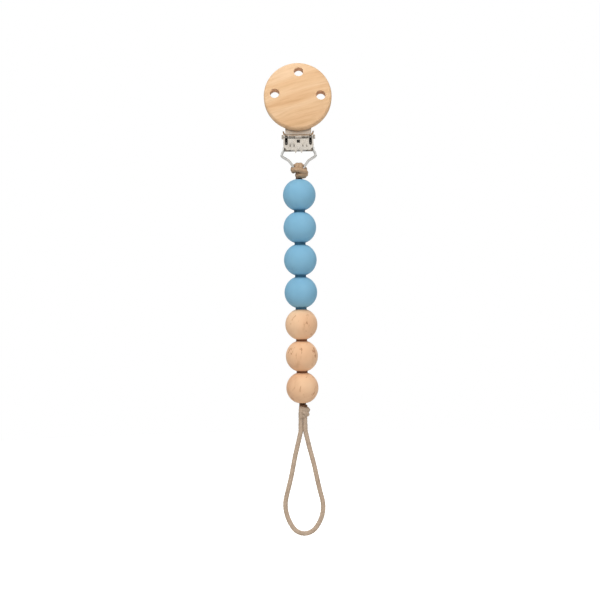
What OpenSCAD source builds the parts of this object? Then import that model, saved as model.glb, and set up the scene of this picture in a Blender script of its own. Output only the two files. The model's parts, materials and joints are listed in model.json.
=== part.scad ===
// Soother holder: a wooden-disc garment clip, a swinging wire bail, a beaded cord and an end loop.
// Millimetres. +Z up, the string hangs down. -Y is the front. The origin is the centre of the
// clip's flat back face, level with the hinge pin.

/* [Wooden disc] */
// disc diameter
disc_d = 31; // [29:0.2:31.4]
// disc thickness at its middle
disc_t = 7; // [6.4:0.2:7.4]
// radius of the disc's soft edges
disc_edge_r = 1.5; // [1:0.1:1.8]
// radius of the gently domed front
disc_dome_r = 60; // [50:5:120]
// how far the closed disc leans towards the garment, degrees
disc_lean = 7; // [6:0.5:8]
// diameter of the three vent holes
vent_d = 4.3; // [3.8:0.1:4.8]
// distance of the vent holes from their common centre
vent_ring_r = 10.5; // [9.8:0.1:10.8]
// how far the vent pattern is turned on the disc, degrees clockwise
vent_turn = 3; // [0:0.5:6]

/* [Metal clip] */
// pin diameter of the lever hinge
pin_d = 1.5; // [1.3:0.1:1.6]
// sheet thickness
sheet_t = 0.7; // [0.6:0.05:0.8]
// height of the tongue's rounded top above the pin
tongue_top = 20; // [17:0.5:21]
// width of the tongue
tongue_w = 10.6; // [9:0.2:11]
// wire diameter of the bail
wire_d = 1.2; // [1.1:0.05:1.3]

/* [Beads] */
// diameter of a silicone bead
silicone_d = 15; // [14.6:0.1:15]
// diameter of a wooden bead
wood_d = 14.7; // [14.3:0.1:14.7]
// diameter of the doubled cord inside the beads
core_d = 3.2; // [2.8:0.1:3.4]
// how far the cord bends each way at a gap, about each of two axes, degrees
flex = 11; // [6:1:11]

/* [End loop] */
// diameter of the single cord
cord_d = 1.95; // [1.6:0.05:2]
// half width of the loop, to the cord's centre line
loop_half_w = 8.55; // [8:0.05:9]
// height of the loop's lowest centre-line point, below the pin
loop_low = 181.6; // [178:0.2:184]

/* [Hidden] */
$fn = 64;

wood_c = [0.91, 0.75, 0.59];
beech_c = [0.90, 0.73, 0.58];
nickel_c = [0.78, 0.76, 0.73];
silicone_c = [0.45, 0.66, 0.80];
cord_c = [0.70, 0.59, 0.49];
pad_c = [0.86, 0.86, 0.84];

eps = 0.01;
skin = 0.01; // a bend's bar is thinner by this than the straights that lap it
lap = 0.05;
run = 0.05; // radial clearance of a running fit

// clip, front to back, measured from the pin
pin_r = pin_d / 2;
pin_half = 7.7;
ear_in = 6.15;
ear_out = ear_in + sheet_t;
pad_y = 2.85;
pad_t = 0.8;
back_in = pad_y + pad_t;
back_y = back_in + 0.8;
front_out = -2.35;
front_t = 0.6;
front_top = -1.0;
jaw_low = -6.2;
prong_low = -7.5;
slot_low = -3.3;
barrel_r = 1.5;
lever_half = 5.95;
plate_y = -1.0; // front face of the lever's plate, which the disc lies on
plate_top = 23;
disc_z = 17.85;
vent_dz = 0.35;
slit_w = 0.3;
slit_pitch = 0.62;
slit_first = 1.7;
slits = 6;

// bail: half of its centre line, from the hidden end round to the bottom
wire_r = wire_d / 2;
bail_z = -4.5;
bail_low = -14.6;
bail_half = [[4.2, bail_z], [6.75, bail_z], [7.0, -6.4], [8.1, -8.7], [4.5, -10.9], [1.7, bail_low]];
bail_bend = 1.1;

// string, downwards
strand_r = 0.8;
hitch_ring_r = 1.6;
hitch_foot_z = -15.3;
knot_pivot_z = -15.6;
gap_top_z = -19.15;
silicone_pitch = 14.87;
wood_pitch = 14.52;
pole_r = 9; // a bead's ends are a little flatter than its waist
core_r = core_d / 2;
bore_r = core_r + 0.1;
ball_r = 0.9;
core_end = 0.25;
// room at each bead's end, so that two neighbours only just clear at the full bend
end_room = pole_r * (1 / cos(acos(pow(cos(flex), 2)) / 2) - 1) + 0.01;

// end loop
cord_r = cord_d / 2;
neck_half = 1.0;
neck_top = -128.9;
loop_top = -134.2;
loop_room = 0.5; // room above and below the loop's pivot, for its sway
loop_wide_z = -169;
loop_bottom_r = 6.6;

function gap_z(i) = gap_top_z - min(i, 4) * silicone_pitch - max(i - 4, 0) * wood_pitch;

// ---------- helpers ----------

// everything below is drawn from the pin's centre
module from_pin() { translate([0, -back_y, 0]) children(); }

module lever_frame() { rotate([-disc_lean, 0, 0]) children(); }

module x_rod(r, x0, x1, y, z) { translate([x0, y, z]) rotate([0, 90, 0]) cylinder(h = x1 - x0, r = r); }

module y_rod(r, y0, y1, x, z) { translate([x, y0, z]) rotate([-90, 0, 0]) cylinder(h = y1 - y0, r = r); }

module box(x0, x1, y0, y1, z0, z1) { translate([x0, y0, z0]) cube([x1 - x0, y1 - y0, z1 - z0]); }

// a shape drawn as seen from the front (x across, y up), reaching from y0 back to y1
module front_cut(y0, y1) { translate([0, y1, 0]) rotate([90, 0, 0]) linear_extrude(y1 - y0) children(); }

module mirrored() {
    children();
    mirror([1, 0, 0]) children();
}

// one straight length of round bar between two points of the XZ plane, a hair longer at both ends
// so that it laps the bends it meets
module bar(a, b, r) {
    d = (b - a) / norm(b - a);
    p = a - lap * d;
    translate([p[0], 0, p[1]]) rotate([0, atan2(d[0], d[1]), 0]) cylinder(h = norm(b - a) + 2 * lap, r = r);
}

// part of a ring of round bar lying in the XZ plane, angles measured from +X towards +Z
module arc_bar(centre, ring_r, r, from, sweep) {
    translate([centre[0], 0, centre[1]]) rotate([90, 0, 0]) rotate([0, 0, from])
        rotate_extrude(angle = sweep) translate([ring_r, 0]) circle(r);
}

function unit(v) = v / norm(v);
function angle_of(v) = atan2(v[1], v[0]);
// a bend at point b of the line a-b-c: where it starts and ends, and its centre
function bend_reach(a, b, c, bend_r) = bend_r / tan(acos(unit(a - b) * unit(c - b)) / 2);
function bend_centre(a, b, c, bend_r) =
    b + unit(unit(a - b) + unit(c - b)) * bend_r / sin(acos(unit(a - b) * unit(c - b)) / 2);
function turned(a, b) = (b - a + 900) % 360 - 180;

// round bar that follows the points, with true bends of radius bend_r at each inner point
module bent_bar(points, bend_r, r) {
    last = len(points) - 1;
    start = [for (i = [0 : last]) i == 0 || i == last ? points[i]
        : points[i] + unit(points[i - 1] - points[i])
            * bend_reach(points[i - 1], points[i], points[i + 1], bend_r)];
    end = [for (i = [0 : last]) i == 0 || i == last ? points[i]
        : points[i] + unit(points[i + 1] - points[i])
            * bend_reach(points[i - 1], points[i], points[i + 1], bend_r)];
    for (i = [0 : last - 1]) bar(end[i], start[i + 1], r);
    for (i = [1 : last - 1]) {
        c = bend_centre(points[i - 1], points[i], points[i + 1], bend_r);
        a = angle_of(start[i] - c);
        t = turned(a, angle_of(end[i] - c));
        arc_bar(c, bend_r, r - skin, t > 0 ? a : a + t, abs(t));
    }
}

// ---------- clip ----------

// centre of the dome, and of the front edge's rounding that runs smoothly into it
dome_z = disc_t - disc_dome_r;
rim_x = disc_d / 2 - disc_edge_r;
rim_z = dome_z + sqrt(pow(disc_dome_r - disc_edge_r, 2) - pow(rim_x, 2));
rim_a = atan2(rim_z - dome_z, rim_x);

module disc_profile() {
    translate([0, disc_edge_r]) square([disc_d / 2, rim_z - disc_edge_r]);
    square([rim_x, rim_z]);
    translate([rim_x, disc_edge_r]) circle(disc_edge_r);
    translate([rim_x, rim_z]) circle(disc_edge_r);
    intersection() {
        translate([0, dome_z]) circle(disc_dome_r - 0.004, $fn = 256);
        translate([0, dome_z]) polygon([[0, 0], [0, 2 * disc_dome_r],
            2 * disc_dome_r * [cos(rim_a), sin(rim_a)]]);
        translate([0, disc_edge_r]) square([disc_d, disc_t]);
    }
}

module vent_hole(angle) {
    translate([vent_ring_r * cos(angle), 0, vent_dz + vent_ring_r * sin(angle)])
        y_rod(vent_d / 2, -disc_t - 1, 1, 0, 0);
}

screw_z = [8.2, 16.2];

module wood_disc() {
    color(wood_c) from_pin() lever_frame() difference() {
        translate([0, plate_y, disc_z]) difference() {
            rotate([90, 0, 0]) rotate_extrude() disc_profile();
            rotate([0, vent_turn, 0]) for (a = [0, 90, 180]) vent_hole(a);
        }
        for (z = screw_z) y_rod(0.82, plate_y - 3.6, plate_y + 1, 0, z);
    }
}

module comb_slits() {
    for (i = [0 : slits - 1]) {
        x = slit_first + i * slit_pitch;
        box(x - slit_w / 2, x + slit_w / 2, -2, 3, -2, 0.2);
    }
}

// side view of the gripping teeth: a strip that leaves under the barrel and ends in an edge
module tooth_strip() {
    rotate([90, 0, 90]) translate([0, 0, -lever_half]) linear_extrude(2 * lever_half)
        polygon([[0, -barrel_r], [1.9, -barrel_r], [2.45, -0.86], [2.45, -0.78], [0, -0.78]]);
}

module lever_plate() {
    color(nickel_c) from_pin() lever_frame() difference() {
        union() {
            x_rod(barrel_r, -lever_half, lever_half, 0, 0);
            box(-lever_half, lever_half, plate_y, plate_y + sheet_t, 0, 6);
            box(-4.2, 4.2, plate_y, plate_y + sheet_t, 5, plate_top - 4.2);
            y_rod(4.2, plate_y, plate_y + sheet_t, 0, plate_top - 4.2);
            tooth_strip();
        }
        x_rod(pin_r + run, -9, 9, 0, 0);
        mirrored() comb_slits();
        mirrored() box(5.05, 6.2, -2, 2, -2, 0.4);
        for (z = screw_z) y_rod(0.85, -2, 2, 0, z);
    }
}

module disc_screws() {
    head_y = plate_y + sheet_t;
    color(nickel_c) from_pin() lever_frame() for (z = screw_z) {
        y_rod(0.8, plate_y - 3.4, head_y, 0, z);
        y_rod(1.6, head_y, head_y + 0.6, 0, z);
    }
}

// ears seen from the front: pinched at the pin, flared at the top
module ear_section() {
    t = sheet_t;
    polygon([[ear_in, -1.1], [ear_in + 0.1, -3.7], [ear_out + 0.1, -3.7], [ear_out, -1.1],
        [ear_out, 1.1], [ear_out + 0.4, 2.8], [ear_out + 0.4 - t, 2.8], [ear_in, 1.1]]);
}

// ears seen from the side
module ear_outline() {
    rotate([90, 0, 90]) linear_extrude(12) {
        circle(2.1);
        translate([0, -3.7]) square([back_y, 5.4]);
        translate([front_out, -3.7]) square([-front_out, 3.1]);
        translate([0.3, 1]) circle(1.8);
    }
}

module ear() {
    intersection() {
        front_cut(front_out, back_y) ear_section();
        ear_outline();
    }
}

// the front plate's outline: narrow between the side slots, full width under them, corners cut
// away where the bail's legs swing
module front_outline() {
    half = [[4.85, front_top], [4.85, slot_low], [ear_out, slot_low], [ear_out, -4.5], [6.05, -5.3],
        [5.3, jaw_low]];
    polygon(concat(half, [for (i = [len(half) - 1 : -1 : 0]) [-half[i][0], half[i][1]]]));
}

module front_plate() {
    difference() {
        front_cut(front_out, front_out + front_t) front_outline();
        box(-0.7, 0.7, front_out - 1, 0, -2.9, -1.5);
        mirrored() y_rod(0.65, front_out - 1, 0, 5.5, slot_low);
    }
    // pressed flutes, and the tapered boss under the window
    mirrored() for (x = [2.0, 3.8]) translate([x, front_out + 0.1, -4.8]) cylinder(h = 3.2, r = 0.32);
    front_cut(front_out - 0.25, front_out + eps)
        polygon([[-0.45, -6.0], [0.45, -6.0], [0.8, -3.6], [-0.8, -3.6]]);
    // two small pointed prongs under the edge
    mirrored() front_cut(front_out, front_out + front_t)
        polygon([[0.7, jaw_low + eps], [1.95, jaw_low + eps], [1.5, prong_low], [1.15, prong_low]]);
}

module bail_knuckle() {
    x_rod(1.25, 4.0, 5.95, 0, bail_z);
    box(4.0, 5.95, 0.6, back_in + eps, bail_z - 0.35, bail_z + 0.35);
}

module back_plate() {
    box(-ear_out, ear_out, back_in, back_y, jaw_low, 2.2);
    box(-tongue_w / 2, tongue_w / 2, back_in, back_y, 2, tongue_top - tongue_w / 2);
    y_rod(tongue_w / 2, back_in, back_y, 0, tongue_top - tongue_w / 2);
}

module jaw_frame() {
    color(nickel_c) from_pin() difference() {
        union() {
            back_plate();
            mirrored() ear();
            front_plate();
            box(-3.6, 3.6, front_out + front_t - eps, back_in + eps, jaw_low, jaw_low + 0.6);
            mirrored() bail_knuckle();
        }
        x_rod(pin_r + 0.01, -9, 9, 0, 0);
        mirrored() x_rod(wire_r + run, 3, 6, 0, bail_z);
    }
}

module jaw_pad() {
    color(pad_c) from_pin() difference() {
        box(-4.4, 4.4, pad_y, back_in, -3.2, 1.6);
        for (z = [-2.4 : 0.8 : 0.8]) x_rod(0.15, -5, 5, pad_y, z);
    }
}

module hinge_pin() {
    color(nickel_c) from_pin() {
        x_rod(pin_r, -pin_half, pin_half, 0, 0);
        mirrored() x_rod(1.0, ear_out, pin_half, 0, 0);
    }
}

module wire_bail() {
    left_half = [for (i = [len(bail_half) - 1 : -1 : 0]) [-bail_half[i][0], bail_half[i][1]]];
    color(nickel_c) from_pin() bent_bar(concat(bail_half, left_half), bail_bend, wire_r);
}

// ---------- string ----------

// one of the two strands that go over the wire and down, front and back
module hitch_strand(x) {
    intersection() {
        translate([x, 0, bail_low]) rotate([0, 90, 0])
            rotate_extrude() translate([hitch_ring_r, 0]) circle(strand_r);
        box(-5, 5, -5, 5, bail_low, 0);
    }
    for (y = [-hitch_ring_r, hitch_ring_r])
        translate([x, y, hitch_foot_z]) cylinder(h = bail_low - hitch_foot_z + eps, r = strand_r);
}

module top_hitch() {
    color(cord_c) from_pin() {
        hitch_strand(-1.0);
        hitch_strand(1.0);
        x_rod(strand_r, -2.3, 2.1, -2.1, -14.7);
        translate([-2.3, -2.1, -14.7]) sphere(strand_r);
        translate([2.1, -2.1, -14.7]) sphere(strand_r);
    }
}

// leaves a socket for the cord's ball at gap i
module ball_socket(i) { translate([0, 0, gap_z(i)]) sphere(ball_r + 0.03); }

module top_knot() {
    color(cord_c) from_pin() difference() {
        union() {
            translate([0.45, 0, -17.45]) rotate([8, 0, 0]) rotate_extrude() translate([2.05, 0]) circle(1.1);
            translate([0, 0, -17.3]) sphere(1.55);
            translate([0, 0, gap_top_z + core_end]) cylinder(h = 1.5, r = core_r);
        }
        ball_socket(0);
    }
}

module cord_gap(i) { color(cord_c) from_pin() translate([0, 0, gap_z(i)]) sphere(ball_r); }

module cord_core(i) {
    low = gap_z(i) + core_end;
    color(cord_c) from_pin() difference() {
        translate([0, 0, low]) cylinder(h = gap_z(i - 1) - core_end - low, r = core_r);
        ball_socket(i - 1);
        ball_socket(i);
    }
}

// bead i, counted from the top, threaded on core i
module bead(i, d, pitch) {
    shift = pole_r - (pitch / 2 - end_room);
    from_pin() translate([0, 0, (gap_z(i - 1) + gap_z(i)) / 2]) difference() {
        intersection() {
            sphere(d / 2);
            translate([0, 0, shift]) sphere(pole_r);
            translate([0, 0, -shift]) sphere(pole_r);
        }
        cylinder(h = 2 * d, r = bore_r, center = true);
    }
}

module silicone_bead(i) { color(silicone_c) bead(i, silicone_d, silicone_pitch); }

module wood_bead(i) { color(beech_c) bead(i + 4, wood_d, wood_pitch); }

module bottom_knot() {
    top = gap_z(7);
    color(cord_c) from_pin() difference() {
        union() {
            translate([0, 0, top - 1.2]) cylinder(h = 1.2 - core_end, r = core_r);
            translate([0.4, 0, top - 2.3]) rotate([6, 8, 0])
                rotate_extrude() translate([1.2, 0]) circle(1.15);
            translate([0.2, 0, top - 4.4]) rotate([-8, -6, 0])
                rotate_extrude() translate([1.25, 0]) circle(1.2);
            translate([0, 0, top - 6.3]) cylinder(h = 4, r = 1.5);
        }
        ball_socket(7);
    }
}

module loop_neck() {
    low = loop_top + loop_room;
    color(cord_c) from_pin() mirrored()
        translate([neck_half, 0, low]) cylinder(h = neck_top - 0.2 - low, r = cord_r);
}

// the legs run straight from the neck to two long side arcs, which meet a tighter arc at the bottom
module end_loop() {
    bottom_c = [0, loop_bottom_r - loop_low];
    drop = loop_wide_z - bottom_c[1];
    side_r = (pow(loop_half_w, 2) + pow(drop, 2) - pow(loop_bottom_r, 2))
        / (2 * (loop_half_w - loop_bottom_r));
    side_c = [loop_half_w - side_r, loop_wide_z];
    low_a = -atan2(drop, side_r - loop_half_w);
    reach = [neck_half, loop_top - loop_room] - side_c;
    top_a = atan2(reach[1], reach[0]) - acos(side_r / norm(reach));
    color(cord_c) from_pin() {
        mirrored() {
            bar(side_c + side_r * [cos(top_a), sin(top_a)], [neck_half, loop_top - loop_room], cord_r);
            arc_bar(side_c, side_r, cord_r - skin, low_a, top_a - low_a);
        }
        arc_bar(bottom_c, loop_bottom_r, cord_r, 180 - low_a - 0.4, 180 + 2 * low_a + 0.8);
    }
}

wood_disc();
lever_plate();
disc_screws();
jaw_frame();
jaw_pad();
hinge_pin();
wire_bail();
top_hitch();
top_knot();
cord_gap(0);  // cord_gap_0
cord_gap(1);  // cord_gap_1
cord_gap(2);  // cord_gap_2
cord_gap(3);  // cord_gap_3
cord_gap(4);  // cord_gap_4
cord_gap(5);  // cord_gap_5
cord_gap(6);  // cord_gap_6
cord_gap(7);  // cord_gap_7
cord_core(1);  // cord_core_1
cord_core(2);  // cord_core_2
cord_core(3);  // cord_core_3
cord_core(4);  // cord_core_4
cord_core(5);  // cord_core_5
cord_core(6);  // cord_core_6
cord_core(7);  // cord_core_7
silicone_bead(1);  // silicone_bead_1
silicone_bead(2);  // silicone_bead_2
silicone_bead(3);  // silicone_bead_3
silicone_bead(4);  // silicone_bead_4
wood_bead(1);  // wood_bead_1
wood_bead(2);  // wood_bead_2
wood_bead(3);  // wood_bead_3
bottom_knot();
loop_neck();
end_loop();
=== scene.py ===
import bpy
import json
import math
import numpy as np
from mathutils import Matrix, Vector


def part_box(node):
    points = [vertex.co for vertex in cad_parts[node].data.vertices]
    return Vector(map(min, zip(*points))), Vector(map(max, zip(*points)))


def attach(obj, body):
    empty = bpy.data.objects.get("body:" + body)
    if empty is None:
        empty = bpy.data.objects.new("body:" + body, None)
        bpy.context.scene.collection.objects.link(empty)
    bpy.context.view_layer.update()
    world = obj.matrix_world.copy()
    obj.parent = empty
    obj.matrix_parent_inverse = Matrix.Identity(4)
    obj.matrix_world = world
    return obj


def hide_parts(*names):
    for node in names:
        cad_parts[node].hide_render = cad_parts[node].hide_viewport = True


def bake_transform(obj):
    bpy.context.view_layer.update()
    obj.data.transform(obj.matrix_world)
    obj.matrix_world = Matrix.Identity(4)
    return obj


# Lengths are in metres in the row frame: +Z up the hanging string, -Y towards the viewer.
MM = 0.001

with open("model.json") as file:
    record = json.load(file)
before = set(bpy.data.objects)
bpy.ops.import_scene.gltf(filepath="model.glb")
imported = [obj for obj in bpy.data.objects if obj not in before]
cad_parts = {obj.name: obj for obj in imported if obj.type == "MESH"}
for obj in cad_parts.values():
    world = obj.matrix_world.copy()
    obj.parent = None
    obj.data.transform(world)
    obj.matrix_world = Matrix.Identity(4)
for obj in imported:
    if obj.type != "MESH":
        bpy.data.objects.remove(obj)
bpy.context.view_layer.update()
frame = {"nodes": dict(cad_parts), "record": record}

JOINT = {j["name"]: j for j in frame["record"]["behaviour"]["joints"]}


def joint_at(name):
    return np.array(JOINT[name]["pos_m"], float)


def box(node):
    lo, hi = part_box(node)
    return np.array(lo, float), np.array(hi, float)


def wide(node, axis):
    """The width of a node's box along an axis, 0 to 2."""
    lo, hi = box(node)
    return float(hi[axis] - lo[axis])


SILICONE_BEADS = 4
WOOD_BEADS = 3
GAPS = SILICONE_BEADS + WOOD_BEADS + 1
PIN = joint_at("clip_lever")
STRING_Y = float(joint_at("cord_bend_x_0")[1])
GAP_Z = [float(joint_at(f"cord_bend_x_{i}")[2]) for i in range(GAPS)]


# ---------- materials ----------

class Shader:
    """A Principled material with short helpers for its node tree."""

    def __init__(self, name, roughness, metallic=0.0):
        self.mat = bpy.data.materials.new(name)
        self.mat.use_nodes = True
        self.nodes = self.mat.node_tree.nodes
        self.links = self.mat.node_tree.links
        self.bsdf = self.nodes["Principled BSDF"]
        self.bsdf.inputs["Roughness"].default_value = roughness
        self.bsdf.inputs["Metallic"].default_value = metallic

    def node(self, kind, **props):
        n = self.nodes.new(kind)
        for k, v in props.items():
            setattr(n, k, v)
        return n

    def link(self, a, b):
        self.links.new(a, b)

    def coords(self, scale=(1, 1, 1), rotation=(0, 0, 0), source="Object", shift=0.0):
        tex = self.node("ShaderNodeTexCoord")
        # a texture mapping turns first and stretches after, so the stretch follows the turned axes
        mapping = self.node("ShaderNodeMapping", vector_type="TEXTURE")
        mapping.inputs["Scale"].default_value = tuple(1 / k for k in scale)
        mapping.inputs["Rotation"].default_value = rotation
        mapping.inputs["Location"].default_value = (shift, -shift, 2 * shift)
        self.link(tex.outputs[source], mapping.inputs["Vector"])
        return mapping.outputs["Vector"]

    def noise(self, vector, scale, detail=4.0, roughness=0.55, distortion=0.0):
        n = self.node("ShaderNodeTexNoise")
        n.inputs["Scale"].default_value = scale
        n.inputs["Detail"].default_value = detail
        n.inputs["Roughness"].default_value = roughness
        n.inputs["Distortion"].default_value = distortion
        self.link(vector, n.inputs["Vector"])
        return n.outputs["Fac"]

    def ramp(self, value, stops):
        """The value turned into a colour. Stops are (place, sRGB colour)."""
        r = self.node("ShaderNodeValToRGB")
        set_stops(r.color_ramp, [(at, linear(colour)) for at, colour in stops])
        self.link(value, r.inputs["Fac"])
        return r.outputs["Color"]

    def grey_ramp(self, value, stops):
        """The value turned into another value. Stops are (place, value)."""
        r = self.node("ShaderNodeValToRGB")
        set_stops(r.color_ramp, [(at, (v, v, v, 1)) for at, v in stops])
        self.link(value, r.inputs["Fac"])
        return r.outputs["Color"]

    def between(self, value, low, high, at_low, at_high):
        """The value carried from the span low to high to the span at_low to at_high."""
        m = self.node("ShaderNodeMapRange")
        self.link(value, m.inputs["Value"])
        for name, v in (("From Min", low), ("From Max", high), ("To Min", at_low), ("To Max", at_high)):
            m.inputs[name].default_value = v
        return m.outputs["Result"]

    def shelter(self, reach):
        """1 on an open surface, and less where another surface stands closer than reach; used as the mask for
        painted shade.
        """
        n = self.node("ShaderNodeAmbientOcclusion", samples=8)
        n.inputs["Distance"].default_value = reach
        return n.outputs["AO"]

    def mix(self, factor, a, b, mode="MIX"):
        """Two colours mixed. Inputs 6 and 7 and output 2 are the node's colour sockets."""
        m = self.node("ShaderNodeMix", data_type="RGBA", blend_type=mode)
        for value, socket in ((factor, m.inputs["Factor"]), (a, m.inputs[6]), (b, m.inputs[7])):
            if isinstance(value, (int, float)):
                socket.default_value = value
            elif isinstance(value, tuple):
                socket.default_value = linear(value)
            else:
                self.link(value, socket)
        return m.outputs[2]

    def bump(self, height, strength, distance):
        b = self.node("ShaderNodeBump")
        b.inputs["Strength"].default_value = strength
        b.inputs["Distance"].default_value = distance
        self.link(height, b.inputs["Height"])
        self.link(b.outputs["Normal"], self.bsdf.inputs["Normal"])

    def colour(self, value):
        if isinstance(value, tuple):
            self.bsdf.inputs["Base Color"].default_value = linear(value)
        else:
            self.link(value, self.bsdf.inputs["Base Color"])


def linear(c):
    """An sRGB colour as the linear RGBA that Blender's sockets take."""
    return tuple(x / 12.92 if x <= 0.04045 else ((x + 0.055) / 1.055) ** 2.4 for x in c[:3]) + (1.0,)


def set_stops(color_ramp, stops):
    while len(color_ramp.elements) < len(stops):
        color_ramp.elements.new(0.5)
    for e, (at, rgba) in zip(color_ramp.elements, stops):
        e.position = at
        e.color = rgba


WHITE = (1.0, 1.0, 1.0)


def disc_wood():
    """Pale wood: bands and pores that rise to the right, bold low on the disc and faint above its middle."""
    s = Shader("disc_wood", 0.5)
    tilt = (0, math.radians(-16), 0)
    broad = s.noise(s.coords((20, 60, 170), tilt), 1.0, 3.0, 0.5, 0.5)
    bands = s.noise(s.coords((30, 150, 520), tilt), 1.0, 3.0, 0.55, 0.3)
    fine = s.noise(s.coords((150, 500, 2600), tilt), 1.0, 4.0, 0.6, 0.1)
    pale, mid, dark = (0.905, 0.770, 0.625), (0.878, 0.725, 0.562), (0.840, 0.665, 0.495)
    tone = s.ramp(broad, [(0.32, dark), (0.50, mid), (0.68, pale)])
    band = s.ramp(bands, [(0.32, (0.90, 0.85, 0.78)), (0.50, WHITE)])
    pore = s.ramp(fine, [(0.34, (0.88, 0.84, 0.79)), (0.50, WHITE)])
    height = s.node("ShaderNodeSeparateXYZ")
    s.link(s.coords(), height.inputs["Vector"])
    lo, hi = box("wood_disc")
    middle = float(lo[2] + hi[2]) / 2
    figure = s.between(height.outputs["Z"], middle - 6 * MM, middle + 2 * MM, 0.75, 0.3)
    figured = s.mix(figure, tone, band, "MULTIPLY")
    s.colour(s.mix(0.3, figured, pore, "MULTIPLY"))
    s.bsdf.inputs["Specular IOR Level"].default_value = 0.3
    s.bump(fine, 0.12, 0.04 * MM)
    return s.mat


def bead_wood(number):
    """Beech: a soft grain and short dark flecks along it, in patches. Each number is another place."""
    s = Shader(f"bead_wood_{number}", 0.55)
    place = number * 31 * MM
    lean = (0, math.radians(12), 0)
    grain = s.noise(s.coords((240, 240, 60), lean, shift=place), 1.0, 4.0, 0.6, 0.6)
    tone = s.noise(s.coords((70, 70, 45), lean, shift=place), 1.0, 2.0)
    fleck = s.noise(s.coords((650, 650, 230), lean, shift=place), 1.0, 2.0, 0.5, 0.8)
    where = s.noise(s.coords((160, 160, 120), lean, shift=place), 1.0, 2.0)
    base = s.ramp(tone, [(0.30, (0.885, 0.700, 0.545)), (0.70, (0.930, 0.780, 0.630))])
    streak = s.ramp(grain, [(0.33, (0.92, 0.885, 0.85)), (0.52, WHITE)])
    marks = s.ramp(fleck, [(0.30, (0.76, 0.61, 0.50)), (0.38, WHITE)])
    patch = s.grey_ramp(where, [(0.44, 0.1), (0.60, 1.0)])
    plain = s.mix(0.7, base, streak, "MULTIPLY")
    flecked = s.mix(1.0, base, marks, "MULTIPLY")
    s.colour(s.mix(patch, plain, flecked))
    s.bump(fleck, 0.15, 0.04 * MM)
    return s.mat


def silicone():
    """Matt blue rubber, with painted shade where two beads meet."""
    s = Shader("silicone", 0.62)
    s.bsdf.inputs["Specular IOR Level"].default_value = 0.3
    mottling = s.noise(s.coords((90, 90, 90)), 1.0, 3.0)
    tone = s.ramp(mottling, [(0.3, (0.475, 0.675, 0.785)), (0.7, (0.503, 0.697, 0.803))])
    # painted shade: the colour is darkened where another surface stands within 3 mm, as in the crevices
    # between beads
    shade = s.ramp(s.shelter(3 * MM), [(0.25, (0.50, 0.66, 0.74)), (0.70, WHITE)])
    s.colour(s.mix(1.0, tone, shade, "MULTIPLY"))
    s.bsdf.inputs["Subsurface Weight"].default_value = 0.10
    s.bsdf.inputs["Subsurface Radius"].default_value = (0.6 * MM, 0.9 * MM, 1.2 * MM)
    s.bump(s.noise(s.coords((2500, 2500, 2500)), 1.0, 2.0), 0.05, 0.02 * MM)
    return s.mat


PLATING = ((0.885, 0.845, 0.79), (0.965, 0.935, 0.89))
WIRE_PLATING = ((0.94, 0.93, 0.91), (0.99, 0.985, 0.97))


def nickel(name, reach, dull=(0.14, 0.26), dent=0.5, metallic=0.9, tones=PLATING):
    """Polished plating, with painted shade where other metal or wood stands closer than reach. Dull is the
    span of its roughness, dent how far it is from flat, and tones its darkest and lightest colour."""
    s = Shader(name, dull[0], metallic)
    wear = s.noise(s.coords((300, 300, 300)), 1.0, 4.0)
    bright = s.ramp(wear, [(0.3, tones[0]), (0.7, tones[1])])
    # painted shade: the colour is darkened where other metal or wood stands within reach
    shade = s.grey_ramp(s.shelter(reach), [(0.12, 0.04), (0.40, 0.50), (0.75, 1.0)])
    s.colour(s.mix(1.0, bright, shade, "MULTIPLY"))
    s.link(s.grey_ramp(wear, [(0.3, dull[0]), (0.7, dull[1])]), s.bsdf.inputs["Roughness"])
    s.bump(s.noise(s.coords((260, 260, 220)), 1.0, 1.0), dent, 0.2 * MM)
    return s.mat


def pad_plastic():
    s = Shader("pad_plastic", 0.5)
    clouds = s.noise(s.coords((400, 400, 400)), 1.0)
    s.colour(s.ramp(clouds, [(0.3, (0.84, 0.84, 0.82)), (0.7, (0.88, 0.88, 0.86))]))
    return s.mat


def cord(name, dark, light):
    """Twisted cotton: fibres run along each ply, so they slant across the cord. UV x is along the cord in
    cord diameters, y is once round it."""
    s = Shader(name, 0.75)
    fibre = s.noise(s.coords((1.4, 26, 1), source="UV"), 1.0, 3.0, 0.6)
    patch = s.noise(s.coords((350, 350, 350)), 1.0, 3.0)
    base = s.ramp(fibre, [(0.25, dark), (0.75, light)])
    wear = s.ramp(patch, [(0.3, (0.84, 0.82, 0.80)), (0.7, WHITE)])
    s.colour(s.mix(0.5, base, wear, "MULTIPLY"))
    s.bump(fibre, 0.5, 0.08 * MM)
    return s.mat


DISC_WOOD = disc_wood()
BEAD_WOOD = [bead_wood(i + 1) for i in range(WOOD_BEADS)]
SILICONE = silicone()
NICKEL = nickel("nickel", 6 * MM)
NICKEL_LEVER = nickel("nickel_lever", 1.8 * MM, (0.30, 0.42), 0.1, 0.6)
NICKEL_WIRE = nickel("nickel_wire", 0.6 * MM, (0.12, 0.2), 0.15, 1.0, WIRE_PLATING)
PAD = pad_plastic()
CORD = cord("cord", (0.66, 0.565, 0.48), (0.83, 0.745, 0.66))
CORD_DARK = cord("cord_knots", (0.60, 0.475, 0.365), (0.81, 0.69, 0.565))
# cord coloured as painted shade: the dark brown of cord in shadow in the gaps between beads and under the
# last bead
CORD_SHADE = cord("cord_shade", (0.36, 0.24, 0.16), (0.50, 0.36, 0.25))
# painted shade for the rings between beads: dark blue with painted light reflected from the silicone beads,
# dark brown at the wooden beads
PAINTED_SHADE_BLUE = cord("painted_shade_blue", (0.21, 0.41, 0.53), (0.28, 0.49, 0.61))
PAINTED_SHADE_BROWN = cord("painted_shade_brown", (0.46, 0.29, 0.18), (0.56, 0.37, 0.25))


# ---------- mesh building ----------

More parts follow.
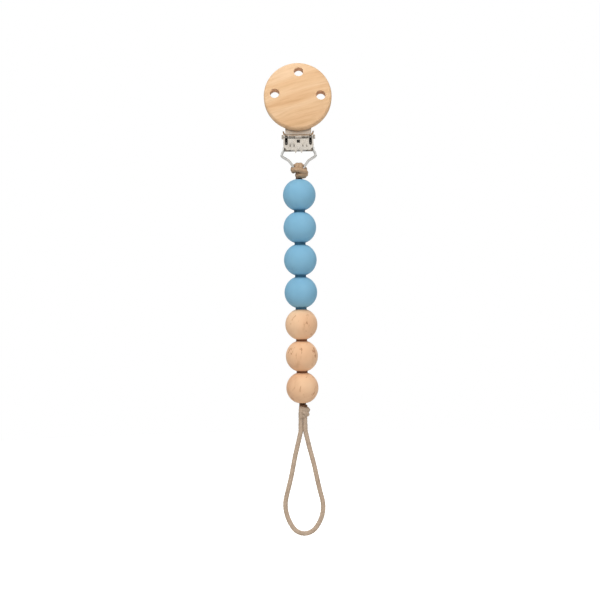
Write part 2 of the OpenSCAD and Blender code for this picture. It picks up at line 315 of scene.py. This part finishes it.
def mesh_object(name, verts, faces, material, uvs=None):
    mesh = bpy.data.meshes.new(name)
    mesh.from_pydata([tuple(v) for v in verts], [], faces)
    if uvs is not None:
        layer = mesh.uv_layers.new(name="UVMap")
        loop_vert = np.zeros(len(mesh.loops), np.int32)
        mesh.loops.foreach_get("vertex_index", loop_vert)
        layer.data.foreach_set("uv", np.asarray(uvs, np.float32)[loop_vert].ravel())
    mesh.polygons.foreach_set("use_smooth", [True] * len(mesh.polygons))
    mesh.materials.append(material)
    mesh.validate()
    obj = bpy.data.objects.new(name, mesh)
    bpy.context.scene.collection.objects.link(obj)
    return obj


def spline(points, steps=14):
    """A smooth line through the points (Catmull-Rom)."""
    p = np.array(points, float)
    n = len(p)
    out = []
    for i in range(n - 1):
        b, c = p[i], p[i + 1]
        a = p[i - 1] if i > 0 else 2 * b - c
        d = p[i + 2] if i + 2 < n else 2 * c - b
        t = np.linspace(0, 1, steps, endpoint=False)[:, None]
        bend = (2 * a - 5 * b + 4 * c - d) * t ** 2 + (3 * b - a - 3 * c + d) * t ** 3
        out.append(0.5 * (2 * b + (c - a) * t + bend))
    out.append(p[-1:])
    return np.vstack(out)


def resample(path, spacing):
    """The path again, with evenly spaced points."""
    gaps = np.linalg.norm(np.diff(path, axis=0), axis=1)
    along = np.concatenate([[0], np.cumsum(gaps)])
    count = max(2, int(round(along[-1] / spacing)) + 1)
    at = np.linspace(0, along[-1], count)
    return np.stack([np.interp(at, along, path[:, k]) for k in range(3)], axis=1)


def path_frames(path):
    """Two unit vectors across the path at each point, carried along it without turning about it."""
    tangents = np.gradient(path, axis=0)
    tangents /= np.linalg.norm(tangents, axis=1)[:, None]
    start = np.array([0.0, 1.0, 0.0]) if abs(tangents[0][1]) < 0.8 else np.array([1.0, 0.0, 0.0])
    u = start - tangents[0] * (start @ tangents[0])
    side = []
    for t in tangents:
        u = u - t * (u @ t)
        u = u / np.linalg.norm(u)
        side.append(u)
    side = np.array(side)
    return side, np.cross(tangents, side)


PLIES = 3
TWIST_PITCH = 4.2 * MM


def cord_piece(name, paths, radii, material, groove=0.2, around=30, spacing=0.22 * MM):
    """Twisted cord along each path: a lobed section, one lobe for each ply, that turns as it goes. Radii is
    one radius for all the paths or a list with one for each."""
    verts, faces, uvs = [], [], []
    if not isinstance(radii, list):
        radii = [radii] * len(paths)
    for path, radius in zip(paths, radii):
        path = resample(np.asarray(path, float), spacing)
        side, up = path_frames(path)
        along = np.concatenate([[0], np.cumsum(np.linalg.norm(np.diff(path, axis=0), axis=1))])
        base = len(verts)
        angles = np.linspace(0, 2 * math.pi, around, endpoint=False)
        for i, p in enumerate(path):
            turn = 2 * math.pi * along[i] / TWIST_PITCH
            lobe = np.abs(np.cos(PLIES * (angles - turn) / 2))
            r = radius * (1 - groove * (1 - lobe) ** 1.5)
            ring = p + np.outer(r * np.cos(angles), side[i]) + np.outer(r * np.sin(angles), up[i])
            verts.extend(ring)
            # v follows the ply round the cord, so that the fibres run along it
            v = (angles - turn) / (2 * math.pi)
            uvs.extend(np.stack([np.full(around, along[i] / (2 * radius)), v], axis=1))
        rings = len(path)
        for i in range(rings - 1):
            for k in range(around):
                a, b = base + i * around + k, base + i * around + (k + 1) % around
                faces.append((a, b, b + around, a + around))
        for i, flip in ((0, True), (rings - 1, False)):
            cap = list(range(base + i * around, base + (i + 1) * around))
            faces.append(tuple(reversed(cap)) if flip else tuple(cap))
    return mesh_object(name, verts, faces, material, uvs)


def lathe(name, profile, material, around=96):
    """A solid of revolution about Z. The profile is a closed round of (radius, height) pairs."""
    rings = len(profile)
    angles = np.linspace(0, 2 * math.pi, around, endpoint=False)
    verts = [(r * math.cos(a), r * math.sin(a), z) for r, z in profile for a in angles]
    faces = []
    for i in range(rings):
        j = (i + 1) % rings
        for k in range(around):
            m = (k + 1) % around
            faces.append((i * around + k, j * around + k, j * around + m, i * around + m))
    return mesh_object(name, verts, faces, material)


def stand_in(piece, node=None, body=None):
    """Parents a piece to the empty of the body it moves with and hides the CAD node it stands for."""
    if body:
        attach(piece, body)
    if node:
        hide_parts(node)


# ---------- beads ----------

END_R = 9 * MM  # a bead's ends are flatter than its waist
END_BLEND = 0.03 * MM  # how softly the end meets the ball
CORE_R = wide("cord_core_1", 0) / 2
BORE_R = CORE_R + 0.1 * MM
LIP = 0.35 * MM


def end_drop(r):
    """How far a bead's end has fallen away at radius r."""
    return END_R - math.sqrt(END_R ** 2 - r ** 2)


def bead_profile(radius, end_z, bore, lip):
    """Outside from top to bottom, a ball with its ends flattened to END_R, then the lips and the bore."""
    out = []
    edge_a = math.asin((bore + lip) / radius)
    for a in np.linspace(edge_a, math.pi - edge_a, 72):
        r, z = radius * math.sin(a), radius * abs(math.cos(a))
        end = end_z + end_drop(bore) - end_drop(r)
        # the lower of the ball and the end, with the crease between them rounded
        flat = (z + end) / 2 - math.hypot((z - end) / 2, END_BLEND)
        out.append((r, math.copysign(flat, math.cos(a))))
    lip_z = -out[-1][1]
    lip_arc = np.linspace(0, math.pi / 2, 6)[1:]
    for side, arc in ((-1, lip_arc), (1, lip_arc[::-1])):
        for a in arc:
            out.append((bore + lip - lip * math.sin(a), side * (lip_z - lip * (1 - math.cos(a)))))
    return out


def make_bead(node, body, material, turn):
    lo, hi = box(node)
    profile = bead_profile(wide(node, 1) / 2, wide(node, 2) / 2, BORE_R, LIP)
    bead = lathe(node + "_round", profile, material)
    bead.data.transform(Matrix.Rotation(turn, 4, "Z"))
    bead.location = Vector((lo + hi) / 2)
    stand_in(bead, node, body)


# each bead is turned about the string by another angle
for i in range(1, SILICONE_BEADS + 1):
    make_bead(f"silicone_bead_{i}", f"bead_{i}", SILICONE, 0.7 * i)
for i in range(1, WOOD_BEADS + 1):
    make_bead(f"wood_bead_{i}", f"bead_{i + SILICONE_BEADS}", BEAD_WOOD[i - 1], 1.9 * i)


# ---------- cord ----------

def at_string(points_mm):
    """Points given in millimetres across and back from the string's line and up from the frame's zero."""
    p = np.array(points_mm, float) * MM
    p[:, 1] += STRING_Y
    return p


STRAND_R = 0.52 * CORE_R
STRAND_APART = 0.46 * CORE_R


def twin_strands(z_top, z_bottom):
    """The two strands inside the beads. They turn about each other and lie side by side at each gap."""
    z = np.linspace(z_top, z_bottom, 60)
    half_turns = np.interp(-z, [-g for g in GAP_Z], range(GAPS))
    out = []
    for k in (0, 1):
        a = math.pi * (half_turns + k)
        out.append(np.stack([STRAND_APART * np.cos(a), STRING_Y + STRAND_APART * np.sin(a), z], axis=1))
    return out


BEND_REACH = 1.6 * MM  # how far from a gap's middle the heights given to bend_across lie
KNOT_REACH = 1.5 * MM  # how far the strands run into the knots


def bend_across(piece, joint, top_z, bottom_z):
    """Bakes the piece's placement into its mesh; the joint and the two heights are not used."""
    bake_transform(piece)


def gap_joints(i):
    return JOINT[f"cord_bend_x_{i}"], JOINT[f"cord_bend_y_{i}"]


# the strands are coloured as painted shade, for the shadow in the gaps between beads
def strands_between(name, z_top, z_bottom):
    return cord_piece(name, twin_strands(z_top, z_bottom), STRAND_R, CORD_SHADE, around=16, spacing=0.3 * MM)


def cord_through_beads():
    last = GAPS - 1
    for i, gap_z in enumerate(GAP_Z):
        above = gap_z + KNOT_REACH if i == 0 else (gap_z + GAP_Z[i - 1]) / 2
        below = gap_z - KNOT_REACH if i == last else (gap_z + GAP_Z[i + 1]) / 2
        x_joint, y_joint = gap_joints(i)
        upper = strands_between(f"cord_above_gap_{i}", above, gap_z)
        lower = strands_between(f"cord_below_gap_{i}", gap_z, below)
        bend_across(upper, x_joint, gap_z + BEND_REACH, gap_z)
        bend_across(lower, y_joint, gap_z, gap_z - BEND_REACH)
        stand_in(upper, f"cord_gap_{i}")
        stand_in(lower, f"cord_core_{i + 1}" if i < last else None)


cord_through_beads()


# radii of the ring of painted shade between two beads: at the bead, inside, and at its free edge
SHADE_RING_OUT = 2.6 * MM
SHADE_RING_IN = 1.62 * MM
SHADE_RING_WAIST = 2.5 * MM
SHADE_RING_SADDLE = 0.1 * MM  # how far the free edge rises and falls
SHADE_RING_SKIN = 0.03 * MM  # air between the ring and the bead


def painted_shade_ring(gap, side, joint, material):
    """Half of a ring of painted shade that fills the shaded crevice between two beads, above (side 1) or
    below (side -1) the gap's middle. Its free edge is a saddle, low where the upper bead comes down in a bend
    and high where the lower one comes up."""
    node = f"silicone_bead_{gap}" if gap <= SILICONE_BEADS else f"wood_bead_{gap - SILICONE_BEADS}"
    bead_lo, _ = box(node)
    room = float(bead_lo[2]) - GAP_Z[gap]
    in_z, out_z = (room + end_drop(r) - end_drop(BORE_R) - SHADE_RING_SKIN for r in (SHADE_RING_IN, SHADE_RING_OUT))
    around = 64
    verts, faces = [], []
    for k in range(around):
        a = 2 * math.pi * k / around
        edge = SHADE_RING_SADDLE * math.cos(2 * a)
        section = ((SHADE_RING_IN, side * in_z), (SHADE_RING_OUT, side * out_z), (SHADE_RING_WAIST, edge), (SHADE_RING_IN, edge))
        for r, z in section:
            verts.append((r * math.cos(a), STRING_Y + r * math.sin(a), GAP_Z[gap] + z))
    for k in range(around):
        for i in range(4):
            a, b = 4 * k + i, 4 * k + (i + 1) % 4
            c, d = (b + 4) % (4 * around), (a + 4) % (4 * around)
            faces.append((a, b, c, d) if side > 0 else (d, c, b, a))
    shade_ring = mesh_object(f"painted_shade_ring_{gap}_{'upper' if side > 0 else 'lower'}", verts, faces, material)
    ends = sorted((GAP_Z[gap] + side * in_z, GAP_Z[gap] + side * SHADE_RING_SADDLE), reverse=True)
    bend_across(shade_ring, joint, *ends)
    stand_in(shade_ring)


for i in range(1, GAPS - 1):
    x_joint, y_joint = gap_joints(i)
    # the rings are painted shade: dark blue with the silicone beads' reflected light painted in, dark brown
    # between the wooden beads
    shade = PAINTED_SHADE_BLUE if i <= SILICONE_BEADS else PAINTED_SHADE_BROWN
    painted_shade_ring(i, 1, x_joint, shade)
    painted_shade_ring(i, -1, y_joint, shade)


# the knots are drawn in millimetres
KNOT_CORD_R = 1.1
KNOT_GROOVE = 0.1
WIRE_R = wide("wire_bail", 1) / 2 / MM
OVER_R = WIRE_R + KNOT_CORD_R + 0.11  # leaves a little air between the strand and the wire


def wrap(centre, half_x, half_y, tilt_x, tilt_y, turns=1.0, start=0.0, rise=0.0):
    """A turn of cord round the string, in millimetres, tilted, rising as it goes."""
    a = np.linspace(0, 2 * math.pi * turns, int(60 * turns)) + start
    p = np.stack([half_x * np.cos(a), half_y * np.sin(a), rise * (a - start) / (2 * math.pi)], axis=1)
    r = Matrix.Rotation(math.radians(tilt_y), 3, "Y") @ Matrix.Rotation(math.radians(tilt_x), 3, "X")
    return p @ np.array(r).T + np.array(centre)


def knot_piece(name, paths, radii, material, around=28):
    """Cord along paths given by at_string. Radii is in millimetres, one for all the paths or a list."""
    radii = [r * MM for r in radii] if isinstance(radii, list) else radii * MM
    return cord_piece(name, [at_string(p) for p in paths], radii, material, groove=KNOT_GROOVE, around=around)


def over_the_wire(x, wire_z, low, lean):
    """A strand that comes up at the back, goes over the bail's wire and down at the front."""
    a = np.linspace(0, math.pi, 24)
    top = np.stack([np.full(24, x), -OVER_R * np.cos(a), wire_z + OVER_R * np.sin(a)], axis=1)
    front = [(x + lean, -0.9 * OVER_R, low)]
    back = [(x + lean, 0.9 * OVER_R, low)]
    return spline(np.vstack([front, top[::3], back]))


def hitch():
    wire_z = joint_at("hitch_roll")[2] / MM
    knot_z = joint_at("knot_sway")[2] / MM
    over = [over_the_wire(x, wire_z, knot_z - 0.5, lean) for x, lean in ((-0.75, -0.2), (0.8, 0.2))]
    behind = spline([
        (-2.4, 0.6, knot_z - 0.1), (-2.75, 2.3, wire_z + 0.1), (-1.8, 2.5, wire_z + 1.4),
        (0, 2.6, wire_z + 2.0), (1.7, 2.5, wire_z + 1.35), (2.75, 2.3, wire_z), (2.6, 0.6, knot_z - 0.1)])
    front = spline([
        (-1.9, 1.6, knot_z + 0.35), (-2.65, 0.4, knot_z + 0.45), (-2.35, -1.6, knot_z + 0.5),
        (-0.8, -2.8, knot_z + 0.4), (1.1, -2.75, knot_z - 0.05), (2.8, -1.9, knot_z - 0.6),
        (3.2, -0.5, knot_z - 0.8), (2.3, 1.2, knot_z - 0.6)])
    piece = knot_piece("hitch_strands", over + [behind, front], KNOT_CORD_R, CORD_DARK)
    stand_in(piece, "top_hitch", "hitch")


hitch()


def top_knot():
    gap = GAP_Z[0] / MM
    paths = [
        wrap((1.2, 0, gap + 1.75), 1.95, 1.65, 5, -4, 1.1, 2.0, 0.1),
        spline([(-0.5, 0.2, gap + 3.0), (-0.45, 0, gap + 1.6), (-0.25, 0, gap + 0.4)]),
        spline([(1.0, -0.3, gap + 3.0), (0.8, 0, gap + 1.6), (0.3, 0, gap + 0.4)]),
        wrap((0.9, 0, gap + 1.0), 1.75, 1.3, 0, 2, 1.05),
    ]
    piece = knot_piece("top_knot_wraps", paths, [KNOT_CORD_R] * 3 + [0.75], CORD_DARK)
    bend_across(piece, JOINT["knot_sway"], (gap + 2.25) * MM, (gap + 0.6) * MM)
    stand_in(piece, "top_knot")


top_knot()


def bottom_knot():
    knot_lo, _ = box("bottom_knot")
    low = float(knot_lo[2]) / MM
    gap = GAP_Z[-1] / MM
    paths = [
        wrap((0.4, 0, gap - 5.5), 0.75, 0.95, 0, 20, 1.05, 2.0),
        wrap((0.85, 0, gap - 2.5), 1.5, 1.4, 10, 24, 1.05, 1.0, 0.2),
        wrap((0.75, 0, gap - 4.3), 1.35, 1.4, -10, 30, 1.05, 4.0, 0.2),
        spline([(-0.55, -0.3, gap - 1.3), (-0.75, -1.0, gap - 2.6), (-0.85, -0.9, gap - 4.4),
                (-0.9, -0.2, low - 0.2)]),
        spline([(0.95, 0.2, gap - 1.3), (0.9, 0.2, gap - 3.2), (0.95, 0, low + 0.2)]),
    ]
    piece = knot_piece("bottom_knot_wraps", paths, [0.85] + [KNOT_CORD_R] * 4, CORD)
    stand_in(piece, "bottom_knot", "knot_bottom")
    # a turn of cord just under the last bead, coloured as painted shade for the shadow beneath the bead
    turn = wrap((0.3, 0, gap - 1.0), 1.3, 1.2, 0, 2, 1.05)
    collar = knot_piece("bottom_knot_collar", [turn], 0.62, CORD_SHADE, around=20)
    stand_in(collar, body="knot_bottom")


bottom_knot()


LOOP_BOTTOM_R = 6.6 * MM
LOOP_WIDEST = 12.6 * MM  # height of the loop's widest place above its lowest point
LOOP_GROOVE = 0.14


def loop_path():
    """The right half of the end loop's centre line as (x, z) pairs from the neck down to the lowest point,
    with the cord's radius and the neck's half width."""
    lo, hi = box("end_loop")
    cord_r = wide("end_loop", 1) / 2
    half_w = wide("end_loop", 0) / 2 - cord_r
    low_z = float(lo[2]) + cord_r
    top_z = float(hi[2])
    neck_half = float(box("loop_neck")[1][0]) - cord_r
    bottom_r = LOOP_BOTTOM_R
    wide_z = low_z + LOOP_WIDEST
    drop = wide_z - (low_z + bottom_r)
    side_r = (half_w ** 2 + drop ** 2 - bottom_r ** 2) / (2 * (half_w - bottom_r))
    side_x = half_w - side_r
    low_a = -math.atan2(drop, side_r - half_w)
    reach = np.array([neck_half - side_x, top_z - wide_z])
    top_a = math.atan2(reach[1], reach[0]) - math.acos(side_r / np.linalg.norm(reach))
    right = [(neck_half, top_z)]
    for a in np.linspace(top_a, low_a, 40):
        right.append((side_x + side_r * math.cos(a), wide_z + side_r * math.sin(a)))
    for a in np.linspace(low_a, -math.pi / 2, 20)[1:]:
        right.append((bottom_r * math.cos(a), low_z + bottom_r + bottom_r * math.sin(a)))
    return np.array(right), cord_r, neck_half


def loop_and_neck():
    right, cord_r, neck_half = loop_path()
    knot_z = float(joint_at("neck_bend")[2])
    split_z = (knot_z + float(joint_at("loop_bend")[2])) / 2
    lead = [(neck_half, z) for z in np.linspace(split_z, right[0][1] + 1 * MM, 8)]
    half = np.array(lead + [tuple(p) for p in right])
    half = resample(np.stack([half[:, 0], np.zeros(len(half)), half[:, 1]], axis=1), 0.5 * MM)
    left = half * np.array([-1, 1, 1])
    line = np.vstack([left, half[::-1][1:]])
    # a hanging cord is never quite flat or even
    along = np.linspace(0, 1, len(line))
    fade = np.clip(np.minimum(along, 1 - along) * 6, 0, 1)
    line[:, 1] += fade * 0.5 * MM * np.sin(along * 9.0)
    line[:, 0] += fade * 0.12 * MM * np.sin(along * 31.0 + 1.0)
    line[:, 1] += STRING_Y
    loop = cord_piece("loop_cord", [line], 1.15 * cord_r, CORD, groove=LOOP_GROOVE)
    bend_across(loop, JOINT["loop_bend"], split_z - 1.0 * MM, split_z - 5.5 * MM)
    stand_in(loop, "end_loop")
    heights = np.linspace(knot_z + 2.4 * MM, split_z, 20)
    strands = [np.array([(x, STRING_Y, z) for z in heights]) for x in (-neck_half, neck_half)]
    neck = cord_piece("neck_strands", strands, 1.05 * cord_r, CORD, groove=LOOP_GROOVE)
    bend_across(neck, JOINT["neck_bend"], knot_z + 0.5 * MM, knot_z - 1.5 * MM)
    stand_in(neck, "loop_neck")


loop_and_neck()


# ---------- clip: CAD nodes with softened edges ----------

def dress(node, material, edge=None):
    """Keeps a CAD node and gives it its material, smooth shading and edges rounded by the given width."""
    obj = frame["nodes"][node]
    obj.data.materials.clear()
    obj.data.materials.append(material)
    obj.data.polygons.foreach_set("use_smooth", [True] * len(obj.data.polygons))
    if edge:
        weld = obj.modifiers.new("weld", "WELD")
        weld.merge_threshold = 0.0005 * MM
        flat = obj.modifiers.new("flat", "DECIMATE")
        flat.decimate_type = "DISSOLVE"
        flat.angle_limit = math.radians(1.5)
        bevel = obj.modifiers.new("edge", "BEVEL")
        bevel.width = edge
        bevel.segments = 3
        bevel.limit_method = "ANGLE"
        bevel.angle_limit = math.radians(30)
        even = obj.modifiers.new("even", "WEIGHTED_NORMAL")
        even.keep_sharp = True
    return obj


dress("wood_disc", DISC_WOOD, 0.3 * MM)
dress("lever_plate", NICKEL_LEVER, 0.08 * MM)
dress("jaw_frame", NICKEL, 0.12 * MM)
dress("jaw_pad", PAD, 0.1 * MM)
dress("disc_screws", NICKEL, 0.15 * MM)
dress("hinge_pin", NICKEL, 0.3 * MM)


def even_skin(obj):
    """One even skin of small faces, so that polished wire mirrors without a seam."""
    skin = obj.modifiers.new("skin", "REMESH")
    skin.mode = "VOXEL"
    skin.voxel_size = 0.08 * MM
    skin.use_smooth_shade = True
    soft = obj.modifiers.new("soft", "SMOOTH")
    soft.iterations = 6


even_skin(dress("wire_bail", NICKEL_WIRE))


# ---------- floor, light, camera ----------

FLOOR_DROP = 40 * MM  # below the loop
FLOOR_RADIUS = 0.9
FLOOR_GLOW = 0.72  # light the floor gives off towards the camera
SOFT_LIGHT = 0.42
LAMP_SIZE = 0.5


def add_stage():
    """A pale floor that takes a faint shadow. It looks as bright as the background, so no horizon shows."""
    z = float(box("end_loop")[0][2]) - FLOOR_DROP
    corners = 64
    ring = [2 * math.pi * k / corners for k in range(corners)]
    verts = [(FLOOR_RADIUS * math.cos(a), FLOOR_RADIUS * math.sin(a), z) for a in ring]
    mesh = bpy.data.meshes.new("floor")
    mesh.from_pydata(verts, [], [tuple(range(corners))])
    floor = bpy.data.objects.new("floor", mesh)
    bpy.context.scene.collection.objects.link(floor)
    floor.visible_glossy = False
    s = Shader("floor", 0.9)
    s.colour((0.93, 0.93, 0.92))
    glow = s.node("ShaderNodeEmission")
    glow.inputs["Strength"].default_value = FLOOR_GLOW
    both = s.node("ShaderNodeAddShader")
    path = s.node("ShaderNodeLightPath")
    pick = s.node("ShaderNodeMixShader")
    s.link(s.bsdf.outputs["BSDF"], both.inputs[0])
    s.link(glow.outputs["Emission"], both.inputs[1])
    s.link(path.outputs["Is Camera Ray"], pick.inputs["Fac"])
    s.link(s.bsdf.outputs["BSDF"], pick.inputs[1])
    s.link(both.outputs["Shader"], pick.inputs[2])
    s.link(pick.outputs["Shader"], s.node("ShaderNodeOutputMaterial").inputs["Surface"])
    s.nodes.remove(s.nodes["Material Output"])
    mesh.materials.append(s.mat)


# brightness that polished metal mirrors, by how high the mirrored direction points
STUDIO_TONES = [(0.0, 0.55), (0.34, 0.62), (0.43, 0.30), (0.48, 0.08), (0.515, 0.30),
                (0.55, 0.88), (0.66, 0.95), (0.74, 0.45), (0.85, 0.80), (1.0, 0.75)]


def add_world():
    """White to the camera, soft light on the object, and bright and dark bands for metal to mirror."""
    world = bpy.data.worlds.new("studio")
    bpy.context.scene.world = world
    world.use_nodes = True
    nodes, links = world.node_tree.nodes, world.node_tree.links
    nodes.clear()

    def background(strength):
        b = nodes.new("ShaderNodeBackground")
        b.inputs["Color"].default_value = (1, 1, 1, 1)
        b.inputs["Strength"].default_value = strength
        return b

    seen, soft, mirrored = background(1.0), background(SOFT_LIGHT), background(1.0)
    where = nodes.new("ShaderNodeTexCoord")
    split = nodes.new("ShaderNodeSeparateXYZ")
    links.new(where.outputs["Generated"], split.inputs["Vector"])
    height = nodes.new("ShaderNodeMapRange")
    height.inputs["From Min"].default_value = -1.0
    links.new(split.outputs["Z"], height.inputs["Value"])
    tones = nodes.new("ShaderNodeValToRGB")
    set_stops(tones.color_ramp, [(at, (v, v, v, 1)) for at, v in STUDIO_TONES])
    links.new(height.outputs["Result"], tones.inputs["Fac"])
    links.new(tones.outputs["Color"], mirrored.inputs["Color"])
    path = nodes.new("ShaderNodeLightPath")
    glossy = nodes.new("ShaderNodeMixShader")
    links.new(path.outputs["Is Glossy Ray"], glossy.inputs["Fac"])
    links.new(soft.outputs["Background"], glossy.inputs[1])
    links.new(mirrored.outputs["Background"], glossy.inputs[2])
    camera = nodes.new("ShaderNodeMixShader")
    links.new(path.outputs["Is Camera Ray"], camera.inputs["Fac"])
    links.new(glossy.outputs["Shader"], camera.inputs[1])
    links.new(seen.outputs["Background"], camera.inputs[2])
    links.new(camera.outputs["Shader"], nodes.new("ShaderNodeOutputWorld").inputs["Surface"])


def add_area(name, place, target, power):
    """A round soft lamp that polished metal doesn't mirror."""
    data = bpy.data.lights.new(name, "AREA")
    data.shape = "DISK"
    data.size = LAMP_SIZE
    data.energy = power
    lamp = bpy.data.objects.new(name, data)
    lamp.location = place
    lamp.visible_glossy = False
    lamp.rotation_euler = (Vector(target) - Vector(place)).to_track_quat("-Z", "Y").to_euler()
    bpy.context.scene.collection.objects.link(lamp)


# the photo's view: its middle beside the string and below the pin, and how much it shows at the string
VIEW_X = -0.45 * MM
VIEW_Z = -74.7 * MM
VIEW_DISTANCE = 0.62
VIEW_HEIGHT = 0.2749
VIEW_ROLL = math.radians(0.93)
SENSOR = 36.0


def add_camera():
    data = bpy.data.cameras.new("camera")
    data.sensor_width = SENSOR
    data.lens = SENSOR * VIEW_DISTANCE / VIEW_HEIGHT
    data.clip_start = 0.01
    camera = bpy.data.objects.new("camera", data)
    camera.matrix_world = (Matrix.Translation((VIEW_X, STRING_Y - VIEW_DISTANCE, PIN[2] + VIEW_Z))
                           @ Matrix.Rotation(math.radians(90), 4, "X") @ Matrix.Rotation(-VIEW_ROLL, 4, "Z"))
    bpy.context.scene.collection.objects.link(camera)
    bpy.context.scene.camera = camera


add_stage()
add_world()
add_area("key", (-0.15, -0.5, 0.55), (0, 0, -0.06), 4.5)
add_area("fill", (0.5, -0.6, 0.1), (0, 0, -0.08), 0.8)
add_area("back", (0.25, 0.6, 0.25), (0, 0, -0.06), 1.6)
add_camera()
bpy.context.scene.view_settings.view_transform = "Standard"
